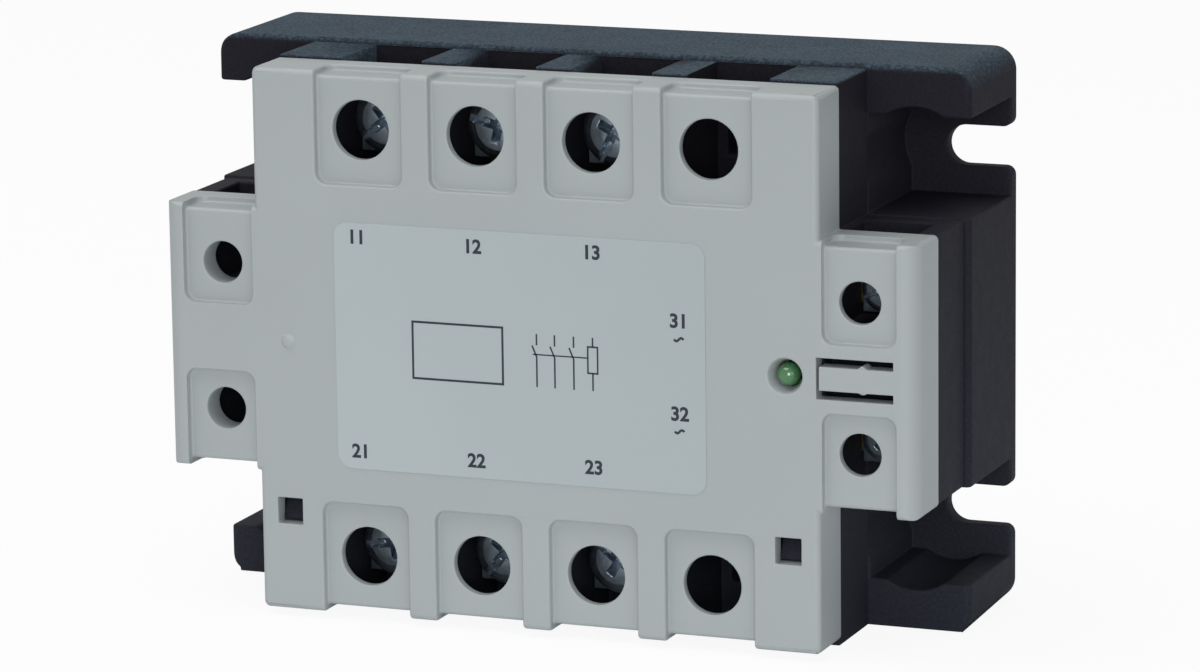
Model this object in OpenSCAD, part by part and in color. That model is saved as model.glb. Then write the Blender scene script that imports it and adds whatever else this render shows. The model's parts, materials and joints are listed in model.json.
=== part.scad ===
// Solid state relay for panel mounting, with a clip-on terminal cover.
// Frame: X to the right, Z up, Y towards the mounting face, origin at the
// centre of the mounting face. "Depth" is the distance in front of that face.

/* [Overall] */
// Width of the base over both flanges
base_w = 104.4; // [103:0.2:112]
// Height of the base
base_h = 73.5; // [73:0.5:80]
// Depth of the base, from the mounting face to the parting line
base_depth = 19.6; // [18.6:0.2:21]
// Depth of the front face of the cover
front_depth = 39.2; // [38.6:0.2:42]
// Height of the rim bars along the top and bottom of the base
rim_h = 6.4; // [5.4:0.1:7]
// Corner radius of the base seen from the front
rim_corner_r = 3; // [2:0.5:5]
// Radius of the front edges of the base
rim_edge_r = 0.8; // [0.4:0.1:1.2]
// Thickness of the moulded walls of the base
base_wall = 2; // [1.6:0.1:2.4]

/* [Middle and wings] */
// How far each wing stands out beside the middle block
wing_w = 13; // [12.6:0.1:13.4]
// How far the wing faces stay inside the base width, on each side
wing_inset = 0.6; // [0.1:0.1:0.8]
// How far the cover stays below the top of the base
cover_inset = 0.95; // [0.4:0.05:1.4]
// How far the rib tops of the terminal block stay below the top of the base
rib_drop = 0.6; // [0.3:0.1:1]

/* [Mounting flanges] */
// Height of the open flange between a rim bar and a wing
pocket_h = 12.85; // [12.5:0.05:13.5]
// Distance from the end of the base to the round end of a slot
slot_in_x = 6.1; // [5:0.05:6.4]
// Distance from the top of the base to the upper slots
slot_in_z = 12.9; // [12.6:0.1:13.2]
// Width of the mounting slots
slot_w = 5.3; // [4.3:0.1:5.9]
// Radius at the mouth of the slots
slot_mouth_r = 1.2; // [0.4:0.1:1.6]
// Thickness of the flange floor
flange_t = 2.2; // [1.8:0.1:3]
// Radius of the round screwdriver clearance over each slot
driver_r = 7; // [6:0.1:7.1]
// How far the screwdriver clearance lies inwards of the round end of its slot
driver_in = 1.4; // [0:0.1:1.4]

/* [Metal plate] */
// Distance from the side of the middle block to the metal mounting plate
plate_in_x = 1.6; // [1.2:0.1:2.4]
// Distance from the top of the base to the metal mounting plate
plate_in_z = 4.75; // [4:0.05:5.5]
// Thickness of the metal mounting plate
plate_t = 3; // [2.4:0.1:3.4]
// How far the plate stands out behind the moulding
plate_proud = 0.2; // [0.1:0.05:0.5]
// Thickness of the lip that the plate is bonded to
lip_t = 1.2; // [1:0.1:1.6]
// Width of the lip
lip_w = 3; // [2.4:0.2:3.6]

/* [Cover] */
// Depth of the cover sides
cover_side = 8.4; // [7.4:0.2:9.2]
// Thickness of the cover front
cover_front_t = 2.4; // [2.1:0.1:2.6]
// Thickness of the cover sides
cover_side_t = 1.6; // [1.4:0.1:1.8]
// Radius of the front edges of the cover
cover_edge_r = 0.8; // [0.5:0.1:1.4]
// Radius of the cover corners seen from the front
cover_corner_r = 0.7; // [0.5:0.1:1.4]
// Radius of the upright outer edges of the wings
wing_edge_r = 2.5; // [1.5:0.1:3]
// Depth of the terminal recesses in the cover front
recess_t = 1.1; // [0.7:0.1:1.2]
// Step of the terminal recesses on the cover top and bottom
recess_step = 0.8; // [0.5:0.1:0.9]
// Radius of the front edges inside the terminal recesses
recess_edge_r = 0.5; // [0.3:0.1:0.8]
// Corner radius of the terminal recesses
recess_r = 1.5; // [1.2:0.1:3]
// Length of the recess along the cover top, from the front face
recess_run = 5.2; // [4:0.1:6.4]
// Width of a power terminal recess
recess_w = 12; // [11:0.1:12.6]
// Distance from a power screw to the inner edge of its recess
recess_in = 7.1; // [6:0.1:7.6]

/* [Power terminals] */
// Number of power terminal columns
columns = 4; // [4]
// Number of columns fitted with terminals
phases = 3; // [3]
// Distance from the side of the middle block to the outer column
column_in = 14.825; // [14.5:0.025:15.2]
// Distance from the top of the base to the power screws
power_in = 8.65; // [8.2:0.05:9.2]
// Diameter of the screwdriver holes in the cover
power_hole_d = 7.8; // [6.5:0.1:8.4]
// Width of a terminal well
well_w = 11; // [10.6:0.1:11.6]
// Length of a terminal well on the inner side of its screw
well_run = 7.5; // [7.2:0.1:7.9]
// Thread diameter of the power screws
power_screw_d = 5; // [4:0.5:5]
// Head diameter of the power screws
power_head_d = 9; // [8.4:0.1:9.6]
// Head height of the power screws
power_head_h = 3; // [2.4:0.1:3.4]
// Length of the power screws under the head
power_screw_l = 12; // [11:0.5:13]
// Side of the power wire clamps
power_clamp_s = 9.4; // [8.8:0.1:9.8]
// Thickness of the power wire clamps
power_clamp_t = 1.8; // [1.4:0.1:2]
// Opening under the power wire clamps
power_gap = 4.2; // [4:0.1:4.6]
// Side of the square power nuts
power_nut_s = 8; // [7.6:0.1:8.4]
// Thickness of the square power nuts
power_nut_t = 3; // [2.6:0.1:3.2]

/* [Control terminals] */
// Distance from the side of a wing to the control screws
control_in = 7.9; // [7.6:0.1:8.1]
// Height of the control screws above and below the middle
control_z = 9.7; // [9.5:0.1:10.4]
// Diameter of the control screw holes in the cover
control_hole_d = 5.5; // [4.8:0.1:5.8]
// Width of a control well
control_well_w = 9.4; // [8.8:0.1:9.4]
// Length of a control well on the inner side of its screw
control_well_run = 4.5; // [4:0.1:4.7]
// Width of a control terminal recess
control_recess_w = 9.8; // [9.2:0.1:10]
// Distance from a control screw to the inner edge of its recess
control_recess_in = 5.3; // [4.6:0.1:5.6]
// Thread diameter of the control screws
control_screw_d = 3; // [2.5:0.5:3]
// Head diameter of the control screws
control_head_d = 6; // [5.6:0.1:6.4]
// Head height of the control screws
control_head_h = 2; // [1.6:0.1:2.4]
// Length of the control screws under the head
control_screw_l = 10; // [8:0.5:11]
// Side of the control wire clamps
control_clamp_s = 6.8; // [6.2:0.1:7.2]
// Thickness of the control wire clamps
control_clamp_t = 1.2; // [1:0.1:1.5]
// Opening under the control wire clamps
control_gap = 2.5; // [2:0.1:2.8]
// Side of the square control nuts
control_nut_s = 5.5; // [5:0.1:5.8]
// Thickness of the square control nuts
control_nut_t = 2.2; // [1.8:0.1:2.2]

/* [Indicator, latch and label] */
// Distance from the side of the middle block to the indicator
indicator_in = 4.5; // [4.4:0.1:5]
// Diameter of the indicator lens
indicator_d = 3; // [2.6:0.1:3]
// Diameter of the countersink round the indicator
countersink_d = 4.7; // [4.2:0.1:5]
// Diameter of the blank nub
nub_d = 2; // [1.4:0.1:2.6]
// Length of the snap tongue
tongue_l = 9.8; // [8:0.1:10]
// Width of the snap tongue
tongue_w = 3.4; // [2.8:0.1:4]
// Width of the slots beside the snap tongue
tongue_slot = 0.8; // [0.6:0.1:1]
// Distance from the side of the middle block to the square windows
window_in = 4.2; // [4:0.1:4.6]
// Height of the square windows over the bottom of the cover
window_up = 13.2; // [12.4:0.1:13.8]
// Side of the square windows
window_s = 3.5; // [3:0.1:4]
// Width of the label
label_w = 50.7; // [44:0.1:52]
// Height of the label
label_h = 32.2; // [26:0.1:34]
// Distance of the label centre to the left of the middle
label_left = 1.9; // [0:0.1:2.5]
// Corner radius of the label
label_r = 2; // [0.5:0.1:3]

/* [Inside] */
// Thickness of the copper busbars
bar_t = 1.2; // [1:0.1:1.4]
// Width of the copper busbars
bar_w = 8; // [7:0.1:9]
// Thickness of the ceramic substrates
substrate_t = 1; // [0.6:0.1:1.4]
// Length of the ceramic substrates
substrate_l = 50; // [46:0.5:54]
// Gap between the two thyristor chips of a phase
chips_apart = 3; // [2:0.1:5]
// Gap between a thyristor chip and the busbar foot beside it
chip_gap = 2.4; // [1.6:0.1:4]
// Thickness of a thyristor chip
chip_t = 0.4; // [0.3:0.05:0.6]
// Depth of the back of the circuit board
board_back = 11; // [10:0.1:12]
// Thickness of the circuit board
board_t = 1.6; // [1:0.2:2]
// Gap over and under the circuit board
board_in = 3.2; // [3:0.1:3.6]
// Diameter of the surge arrester discs
varistor_d = 11; // [9:0.1:12]
// Diameter of the smoothing capacitor
capacitor_d = 8; // [6.3:0.1:9]
// Height of the smoothing capacitor
capacitor_h = 10; // [8:0.1:12]

/* [Fits] */
// Gap between the cover and the terminal block
cover_gap = 0.2; // [0.15:0.05:0.3]
// Gap between mouldings and the metal parts set in them
set_gap = 0.1; // [0.05:0.05:0.2]
// Gap between a screw and the thread of its nut
thread_gap = 0.05; // [0.03:0.01:0.1]
// Gap between a screw and the holes that it passes through
pass_gap = 0.3; // [0.2:0.05:0.4]

/* [Hidden] */
$fn = 48;

// The two rows of power terminals and the two control terminals
LINE = 1;
LOAD = -1;
UPPER = 1;
LOWER = -1;

cut = 1;          // how far a cutting shape runs past the face that it opens
plastic_black = "#23262c";
plastic_grey = "#aab2b4";
label_grey = "#bcc6c8";
nickel = "#9aa4ac";
copper = "#b87446";
brass = "#c8a048";
ceramic = "#e6e4da";
board_green = "#1f6b3a";
lens_green = "#3fa84a";

// Half sizes seen from the front
base_x = base_w / 2;
base_z = base_h / 2;
wing_x = base_x - wing_inset;
main_x = wing_x - wing_w;
rim_z = base_z - rim_h;
wing_z = rim_z - pocket_h;
cover_z = base_z - cover_inset;
slot_x = base_x - slot_in_x;
slot_z = base_z - slot_in_z;
driver_x = slot_x - driver_in;
driver_z = wing_z + driver_r;
plate_x = main_x - plate_in_x;
plate_z = base_z - plate_in_z;

// Places seen from the front
pitch = 2 * (main_x - column_in) / (columns - 1);
power_z = base_z - power_in;
control_x = wing_x - control_in;
indicator_x = main_x - indicator_in;
window_x = main_x - window_in;
window_z = cover_z - window_up;

// Depths of the base
flange_front = plate_proud + flange_t;
lip_front = plate_t + lip_t;
hollow_x = main_x - base_wall;
top_wall = rim_h / 2;
hollow_z = base_z - top_wall;

// Depths of the cover
cover_back = front_depth - cover_side;
cover_inner = front_depth - cover_front_t;
recess_front = front_depth - recess_t;
cover_hollow_x = main_x - cover_side_t;
cover_hollow_z = cover_z - cover_side_t;
cover_hollow_wing_x = wing_x - cover_side_t;
cover_hollow_wing_z = wing_z - cover_side_t;

// Depths of the terminal block
block_gap = 0.3;             // between the block front and the cover
block_front = cover_inner - block_gap;
block_top = base_z - rib_drop;
block_flush = 0.2;           // the block sides stay this far inside the cover sides
front_wall = 2;              // the wall in front of the electronics
seat_rise = 1.4;             // height of the wire seats over the parting line
bar_front = base_depth + seat_rise;
bar_back = bar_front - bar_t;
nut_floor = 1;               // moulding left behind each power nut
well_floor_back = bar_back - power_nut_t - nut_floor;
well_in = power_z - well_run;
well_wall = 2;               // the wall between the wells and the electronics
side_wall = 1.2;             // the wall beside the electronics
cavity_z = well_in - well_wall;
cavity_x = cover_hollow_x - cover_gap - side_wall;

// Depths of the power terminals, wire clamps open
power_under_clamp = bar_front + power_gap;
power_under_head = power_under_clamp + power_clamp_t;

// Depths of the control terminals, with the screw heads level with the power ones
control_under_head = power_under_head;
control_under_clamp = control_under_head - control_clamp_t;
control_seat = control_under_clamp - control_gap;
control_bar_t = 1;
control_floor = control_seat - control_bar_t;
control_well_in = control_z - control_well_run;
control_bar_w = 6;
control_leg_w = 3;

// Chips and busbars
substrate_front = plate_t + substrate_t;
substrate_gap = 1.4;         // between neighbouring substrates
substrate_w = pitch - substrate_gap;
foot_l = 3.6;                // length of a busbar foot on its substrate
riser_gap = 0.9;             // between a busbar riser and the wall beside it
riser_out = cavity_z - riser_gap;
chip_front = substrate_front + chip_t;
chip_s = riser_out - bar_t - foot_l - chip_gap - chips_apart / 2;
chip_z = (chip_s + chips_apart) / 2;
pin_r = 0.4;

// Circuit board and what stands on it
board_front = board_back + board_t;
board_gap = 0.4;             // beside the board
board_x = cavity_x - board_gap;
board_z = cavity_z - board_in;
post_w = 3;                  // side of the posts that carry the board
leg_in = 0.6;                // from the board's side to the leg of a control terminal
lead_s = 0.5;                // side of the square indicator leads
lead_pitch = 2.54;
lead_l = 0.8;                // leads showing under a surge arrester
opto_w = 6.4;
opto_l = 8.6;
opto_h = 3.4;
varistor_t = 3.2;
resistor_l = 5;
resistor_r = 1.1;
input_in = 8.4;              // from the board's side to the middle of the input parts
input_gap = 1;               // between an input part and the middle of the board
input_x = board_x - input_in;

// Small features of the mouldings
recess_rib = 0.4;            // the control recesses start this far out of the middle block
tongue_slit = 0.25;          // width of the slit at the free end of the tongue
tongue_give = 3;             // room behind the tongue to press it in
arm_t = 1.2;                 // thickness of a snap arm
arm_l = 5;                   // length of a snap arm
collar_t = 0.8;
collar_l = 2.6;
label_t = 0.2;
label_seat = 0.1;            // depth of the shallow seat that the label sticks in
nub_rise = 0.4;
nub_r = (nub_d * nub_d / 4 + nub_rise * nub_rise) / (2 * nub_rise);
nub_sink = nub_r - nub_rise; // the sphere of the nub is centred this far behind the face
lens_back = 0.1;             // the lens tip stays this far behind the cover face
lens_gap = 0.12;             // free ring round the lens in the cover
lens_flange = 0.4;
lens_flange_t = 1;

function column_x(k) = (k - (columns - 1) / 2) * pitch;

// ---- shapes shared by the parts ----

// A flat outline, drawn in X and Z, filled from one depth to another
module slab(d0, d1) {
    translate([0, -d0, 0]) rotate([90, 0, 0]) linear_extrude(d1 - d0) children();
}

// A straight block between two depths
module block(x0, x1, z0, z1, d0, d1) {
    translate([x0, -d1, z0]) cube([x1 - x0, d1 - d0, z1 - z0]);
}

// A round bar or hole that runs straight back
module rod(x, z, r, d0, d1) {
    translate([x, -d0, z]) rotate([90, 0, 0]) cylinder(r = r, h = d1 - d0);
}

module both_x() {
    children();
    mirror([1, 0, 0]) children();
}

module both_z() {
    children();
    mirror([0, 0, 1]) children();
}

// A rectangle with round corners, centred
module soft_rect(w, h, r) {
    square([w - 2 * r, h], center = true);
    square([w, h - 2 * r], center = true);
    for (x = [-1, 1], z = [-1, 1]) translate([x * (w / 2 - r), z * (h / 2 - r)]) circle(r);
}

// Full width at the back, round corners at the front: X across, -Y forwards
module front_rounded(x, d, r) {
    translate([-x, r - d]) square([2 * x, d - r]);
    translate([r - x, -d]) square([2 * (x - r), d]);
    for (s = [-1, 1]) translate([s * (x - r), r - d]) circle(r);
}

// A centred block with round front edges: side_r on the upright ones, top_r on
// the level ones and face_r on the corners seen from the front
module soft_block(x, z, d0, d1, side_r, top_r, face_r) {
    intersection() {
        slab(d0, d1) soft_rect(2 * x, 2 * z, face_r);
        translate([0, -d0, -z]) linear_extrude(2 * z) front_rounded(x, d1 - d0, side_r);
        translate([-x, -d0, 0]) rotate([90, 0, 90]) linear_extrude(2 * x)
            mirror([1, -1]) front_rounded(z, d1 - d0, top_r);
    }
}

// ---- base ----

// The space over each mounting slot, between rim bar and wing
module flange_pocket(d0, d1) {
    both_x() both_z() {
        block(main_x, base_x + cut, wing_z, rim_z, d0, d1);
        rod(driver_x, driver_z, driver_r, d0, d1);
    }
}

// A slot with a round end and a mouth that flares with round corners
module slot_shape() {
    flare = slot_w + 2 * slot_mouth_r;
    circle(slot_w / 2);
    translate([0, -slot_w / 2]) square([slot_in_x + cut, slot_w]);
    translate([slot_in_x - slot_mouth_r, -flare / 2]) difference() {
        square([slot_mouth_r + cut, flare]);
        circle(slot_mouth_r);
        translate([0, flare]) circle(slot_mouth_r);
    }
}

// The four slots, open at the sides
module mounting_slots() {
    both_x() both_z() translate([slot_x, 0, slot_z]) slab(-cut, flange_front + cut) slot_shape();
}

module base_frame() {
    color(plastic_black) {
        difference() {
            soft_block(base_x, base_z, plate_proud, base_depth, rim_edge_r, rim_edge_r, rim_corner_r);
            flange_pocket(flange_front, base_depth + cut);
            mounting_slots();
            block(-hollow_x, hollow_x, -hollow_z, hollow_z, lip_front, base_depth + cut);
            both_x() block(main_x, wing_x - base_wall, base_wall - wing_z, wing_z - base_wall,
                flange_front, base_depth + cut);
            block(-plate_x - set_gap, plate_x + set_gap, -plate_z - set_gap, plate_z + set_gap,
                -cut, plate_t);
            block(lip_w - plate_x, plate_x - lip_w, lip_w - plate_z, plate_z - lip_w,
                plate_t - cut, lip_front + cut);
        }
        both_x() both_z() block(hollow_x - post_w, hollow_x, board_z - post_w, board_z,
            lip_front, board_back);
    }
}

module base_plate() {
    color(nickel) block(-plate_x, plate_x, -plate_z, plate_z, 0, plate_t);
}

// ---- terminal block ----

// The body behind the cover, a little smaller than the cover all round
module block_body() {
    slab(base_depth, cover_back) {
        square([2 * (main_x - block_flush), 2 * block_top], center = true);
        square([2 * (wing_x - block_flush), 2 * (wing_z - block_flush)], center = true);
    }
    slab(cover_back, block_front) {
        square([2 * (cover_hollow_x - cover_gap), 2 * (cover_hollow_z - cover_gap)], center = true);
        square([2 * (cover_hollow_wing_x - cover_gap), 2 * (cover_hollow_wing_z - cover_gap)],
            center = true);
    }
    slab(well_floor_back, base_depth)
        square([2 * (hollow_x - cover_gap), 2 * (hollow_z - cover_gap)], center = true);
}

// One power well, open to the front and to the top, with its nut pocket
module power_well(x) {
    block(x - well_w / 2, x + well_w / 2, well_in, base_z, bar_back, block_front + cut);
    block(x - power_nut_s / 2 - set_gap, x + power_nut_s / 2 + set_gap,
        power_z - power_nut_s / 2 - set_gap, power_z + power_nut_s / 2 + set_gap,
        bar_back - power_nut_t, bar_back + cut);
    rod(x, power_z, power_screw_d / 2 + pass_gap, well_floor_back - cut, bar_back);
    block(x - bar_w / 2 - set_gap, x + bar_w / 2 + set_gap, cavity_z - cut, well_in + cut,
        bar_back, bar_front + set_gap);
}

// One control well on the right wing, with its nut pocket and the way in for its lead
module control_well() {
    block(control_x - control_well_w / 2, control_x + control_well_w / 2, control_well_in, wing_z + cut,
        control_floor, block_front + cut);
    block(control_x - control_nut_s / 2 - set_gap, control_x + control_nut_s / 2 + set_gap,
        control_z - control_nut_s / 2 - set_gap, control_z + control_nut_s / 2 + set_gap,
        control_floor - control_nut_t, control_floor + cut);
    rod(control_x, control_z, control_screw_d / 2 + pass_gap, base_depth - cut, control_floor);
    block(cavity_x - cut, control_x, control_z - control_bar_w / 2 - set_gap,
        control_z + control_bar_w / 2 + set_gap, control_floor, control_seat + set_gap);
}

module terminal_block() {
    color(plastic_black) difference() {
        block_body();
        block(-cavity_x, cavity_x, -cavity_z, cavity_z, well_floor_back - cut, block_front - front_wall);
        both_z() for (k = [0 : columns - 1]) power_well(column_x(k));
        both_x() both_z() control_well();
        rod(indicator_x, 0, indicator_d / 2 + lens_flange + pass_gap, block_front - 2 * front_wall,
            block_front + cut);
        block(main_x - block_flush, control_x + control_well_w / 2, -tongue_w, tongue_w,
            block_front - tongue_give, block_front + cut);
        both_x() block(window_x - window_s / 2 - cover_gap, window_x + window_s / 2 + cover_gap,
            -window_z - window_s / 2 - arm_t - 2 * cover_gap, -window_z + window_s / 2 + cover_gap,
            cover_back, block_front + cut);
    }
}

// ---- cover ----

// The cover without its terminal recesses
module cover_full() {
    soft_block(main_x, cover_z, cover_back, front_depth, cover_edge_r, cover_edge_r, cover_corner_r);
    soft_block(wing_x, wing_z, cover_back, front_depth, wing_edge_r, cover_edge_r, cover_corner_r);
}

// The cover cut back to the depth of its recesses
module cover_core() {
    soft_block(main_x, cover_z - recess_step, cover_back, recess_front,
        cover_edge_r, recess_edge_r, cover_corner_r);
    soft_block(wing_x, wing_z - recess_step, cover_back, recess_front,
        wing_edge_r, recess_edge_r, cover_corner_r);
}

// A recess centred on x, from z upwards, round at its lower and rear corners
module recess(x, w, z, top) {
    h = 2 * (top + cut - z);
    run = 2 * (recess_run + cut);
    intersection() {
        translate([x, 0, top + cut]) slab(cover_back, front_depth + cut) soft_rect(w, h, recess_r);
        translate([x, -front_depth - cut, z]) linear_extrude(h) soft_rect(w, run, recess_r);
    }
}

module cover_recesses() {
    both_z() for (k = [0 : columns - 1])
        recess(column_x(k), recess_w, power_z - recess_in, cover_z);
    both_x() both_z()
        recess(main_x + recess_rib + control_recess_w / 2, control_recess_w,
            control_z - control_recess_in, wing_z);
}

module cover_holes() {
    both_z() for (k = [0 : columns - 1])
        rod(column_x(k), power_z, power_hole_d / 2, cover_inner - cut, front_depth + cut);
    both_x() both_z() rod(control_x, control_z, control_hole_d / 2, cover_inner - cut, front_depth + cut);
    both_x() block(window_x - window_s / 2, window_x + window_s / 2,
        -window_z - window_s / 2, window_s / 2 - window_z, cover_inner - cut, front_depth + cut);
}

// The countersunk hole that the indicator looks through
module indicator_hole() {
    rod(indicator_x, 0, indicator_d / 2 + lens_gap, cover_inner - cut, front_depth);
    translate([indicator_x, -cover_inner, 0]) rotate([90, 0, 0])
        cylinder(r1 = indicator_d / 2 + lens_gap, r2 = countersink_d / 2, h = cover_front_t);
}

// The cuts that free the snap tongue on three sides
module tongue_cuts() {
    x0 = main_x - tongue_slit;
    for (s = [-1, 1]) block(x0, main_x + tongue_l, (s - 1) * tongue_slot / 2 + s * tongue_w / 2,
        (s + 1) * tongue_slot / 2 + s * tongue_w / 2, cover_inner - cut, front_depth + cut);
    block(x0 - tongue_slit / 2, x0 + tongue_slit / 2, -tongue_w / 2 - tongue_slot,
        tongue_w / 2 + tongue_slot, cover_inner - cut, front_depth + cut);
}

module front_cover() {
    color(plastic_grey) {
        difference() {
            union() {
                cover_core();
                difference() {
                    cover_full();
                    cover_recesses();
                }
            }
            slab(cover_back - cut, cover_inner) {
                square([2 * cover_hollow_x, 2 * cover_hollow_z], center = true);
                square([2 * cover_hollow_wing_x, 2 * cover_hollow_wing_z], center = true);
            }
            cover_holes();
            indicator_hole();
            tongue_cuts();
            slab(front_depth - label_seat, front_depth + cut) translate([-label_left, 0])
                soft_rect(label_w + 2 * set_gap, label_h + 2 * set_gap, label_r);
        }
        // Collars behind the two holes of the left wing
        both_z() difference() {
            rod(-control_x, control_z, control_hole_d / 2 + collar_t, cover_inner - collar_l, cover_inner);
            rod(-control_x, control_z, control_hole_d / 2, cover_inner - collar_l - cut, cover_inner + cut);
        }
        // Snap arms behind the square windows
        both_x() block(window_x - window_s / 2, window_x + window_s / 2,
            -window_z - window_s / 2 - arm_t, -window_z - window_s / 2,
            cover_inner - arm_l, cover_inner);
        blank_nub();
    }
}

// The low dome opposite the indicator
module blank_nub() {
    intersection() {
        translate([-indicator_x, nub_sink - front_depth, 0]) sphere(nub_r);
        rod(-indicator_x, 0, nub_r, front_depth - label_seat, front_depth + nub_r);
    }
}

module label() {
    color(label_grey) slab(front_depth - label_seat, front_depth - label_seat + label_t)
        translate([-label_left, 0]) soft_rect(label_w, label_h, label_r - set_gap);
}

// ---- power terminals ----

// A pan head screw, pointing back, with a cross and a straight slot
module screw(d, head_d, head_h, l, under) {
    rim = 2 * head_h / 3;    // height of the straight side of the head
    difference() {
        translate([0, l - under, 0]) rotate([90, 0, 0]) rotate_extrude() polygon([
            [0, 0], [3 * d / 8, 0], [d / 2, d / 8], [d / 2, l], [head_d / 2, l],
            [head_d / 2, l + rim], [3 * head_d / 8, l + head_h], [0, l + head_h]
        ]);
        for (a = [0, 90]) rotate([0, a, 0]) block(-head_d / 4, head_d / 4, -head_d / 16, head_d / 16,
            under + head_h / 3, under + head_h + cut);
        block(-head_d, head_d, -head_d / 20, head_d / 20, under + rim, under + head_h + cut);
    }
}

// A square clamp with a toothed underside
module clamp(side, t, d, under) {
    teeth = 4;
    tooth = side / (2 * teeth + 1);
    color(nickel) difference() {
        block(-side / 2, side / 2, -side / 2, side / 2, under, under + t);
        rod(0, 0, d / 2 + pass_gap, under - cut, under + t + cut);
        for (i = [1 : teeth]) block(-side, side, (2 * i - 1) * tooth - side / 2, 2 * i * tooth - side / 2,
            under - cut, under + t / 5);
    }
}

module power_screw(k, row) {
    translate([column_x(k - 1), 0, row * power_z]) color(nickel)
        screw(power_screw_d, power_head_d, power_head_h, power_screw_l, power_under_head);
}

module power_clamp(k, row) {
    translate([column_x(k - 1), 0, row * power_z])
        clamp(power_clamp_s, power_clamp_t, power_screw_d, power_under_clamp);
}

// Foot on the substrate, riser and wire seat of one power terminal, for the top row
module busbar_shape() {
    difference() {
        union() {
            block(-bar_w / 2, bar_w / 2, riser_out - bar_t - foot_l, riser_out,
                substrate_front, substrate_front + bar_t);
            block(-bar_w / 2, bar_w / 2, riser_out - bar_t, riser_out, substrate_front, bar_front);
            block(-bar_w / 2, bar_w / 2, riser_out - bar_t, power_z + power_nut_s / 2, bar_back, bar_front);
        }
        rod(0, power_z, power_screw_d / 2 + pass_gap, bar_back - cut, bar_front + cut);
    }
}

module power_busbar(k, row) {
    color(copper) translate([column_x(k - 1), 0, 0]) {
        if (row == LINE) busbar_shape();
        else mirror([0, 0, 1]) busbar_shape();
    }
}

// A square nut that lies in a pocket of the terminal block
module nut(side, t, d, back) {
    difference() {
        block(-side / 2, side / 2, -side / 2, side / 2, back, back + t);
        rod(0, 0, d / 2 + thread_gap, back - cut, back + t + cut);
    }
}

module power_nuts() {
    color(nickel) both_z() for (k = [0 : phases - 1]) translate([column_x(k), 0, power_z])
        nut(power_nut_s, power_nut_t, power_screw_d, bar_back - power_nut_t);
}

// ---- control terminals ----

module control_nuts() {
    color(nickel) both_z() translate([control_x, 0, control_z])
        nut(control_nut_s, control_nut_t, control_screw_d, control_floor - control_nut_t);
}

module control_screw(row) {
    translate([control_x, 0, row * control_z]) color(nickel)
        screw(control_screw_d, control_head_d, control_head_h, control_screw_l, control_under_head);
}

module control_clamp(row) {
    translate([control_x, 0, row * control_z])
        clamp(control_clamp_s, control_clamp_t, control_screw_d, control_under_clamp);
}

// Wire seat of a control terminal with the leg that stands on the circuit board
module control_terminal(row) {
    leg_x = board_x - control_bar_t - leg_in;
    color(brass) translate([0, 0, row * control_z]) {
        difference() {
            block(leg_x, control_x + control_nut_s / 2, -control_bar_w / 2, control_bar_w / 2,
                control_floor, control_seat);
            rod(control_x, 0, control_screw_d / 2 + pass_gap, control_floor - cut, control_seat + cut);
        }
        block(leg_x, leg_x + control_bar_t, -control_leg_w / 2, control_leg_w / 2,
            board_front, control_floor);
    }
}

// ---- electronics ----

module substrate(k) {
    color(ceramic) translate([column_x(k - 1), 0, 0])
        block(-substrate_w / 2, substrate_w / 2, -substrate_l / 2, substrate_l / 2, plate_t, substrate_front);
}

// The two chips of one phase
module thyristors(k) {
    color("#505860") both_z() translate([column_x(k - 1), 0, chip_z])
        block(-chip_s / 2, chip_s / 2, -chip_s / 2, chip_s / 2, substrate_front, chip_front);
}

// Gate and cathode pins from each chip up to the circuit board
module gate_pins() {
    color(copper) both_z() for (k = [0 : phases - 1], s = [-1, 1])
        rod(column_x(k) + s * chip_s / 4, chip_z, pin_r, chip_front, board_back);
}

module control_board() {
    color(board_green) block(-board_x, board_x, -board_z, board_z, board_back, board_front);
}

module optocouplers() {
    color("#2a2a2a") for (k = [0 : phases - 1]) translate([column_x(k), 0, 0])
        block(-opto_w / 2, opto_w / 2, -opto_l / 2, opto_l / 2, board_front, board_front + opto_h);
}

// Surge arrester discs, one beside each optocoupler
module varistors() {
    color("#2f6fae") for (k = [0 : phases - 1]) translate([column_x(k) + pitch / 2, 0, 0]) {
        translate([-varistor_t / 2, -board_front - lead_l - varistor_d / 2, 0])
            rotate([0, 90, 0]) cylinder(d = varistor_d, h = varistor_t);
        both_z() rod(0, varistor_d / 4, pin_r, board_front, board_front + lead_l + varistor_d / 4);
    }
}

module resistor_shape(l, r) {
    translate([0, -board_front - r, -l / 2]) cylinder(r = r, h = l);
}

module gate_resistors() {
    color("#b59a6a") both_z() for (k = [0 : phases - 1])
        translate([column_x(k), 0, (opto_l / 2 + board_z) / 2]) resistor_shape(resistor_l, resistor_r);
}

module input_resistors() {
    color("#b59a6a") both_z()
        translate([input_x - capacitor_d / 2 - 2 * resistor_r, 0, resistor_l + input_gap])
            resistor_shape(2 * resistor_l, resistor_r);
}

module input_capacitor() {
    color("#2b3d66") rod(input_x, capacitor_d / 2, capacitor_d / 2, board_front, board_front + capacitor_h);
}

module input_rectifier() {
    color("#2a2a2a") block(input_x - opto_w / 2, input_x + opto_w / 2,
        -opto_l - input_gap, -input_gap, board_front, board_front + opto_h);
}

// The indicator: lens, flange and two leads down to the circuit board
module status_led() {
    lens = front_depth - indicator_d / 2 - lens_back;
    flange = block_front - front_wall;
    color(lens_green) {
        translate([indicator_x, -lens, 0]) sphere(d = indicator_d);
        rod(indicator_x, 0, indicator_d / 2, flange, lens);
        rod(indicator_x, 0, indicator_d / 2 + lens_flange, flange - lens_flange_t, flange);
    }
    color(nickel) both_z() block(indicator_x - lead_s / 2, indicator_x + lead_s / 2,
        (lead_pitch - lead_s) / 2, (lead_pitch + lead_s) / 2, board_front, flange);
}

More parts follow.
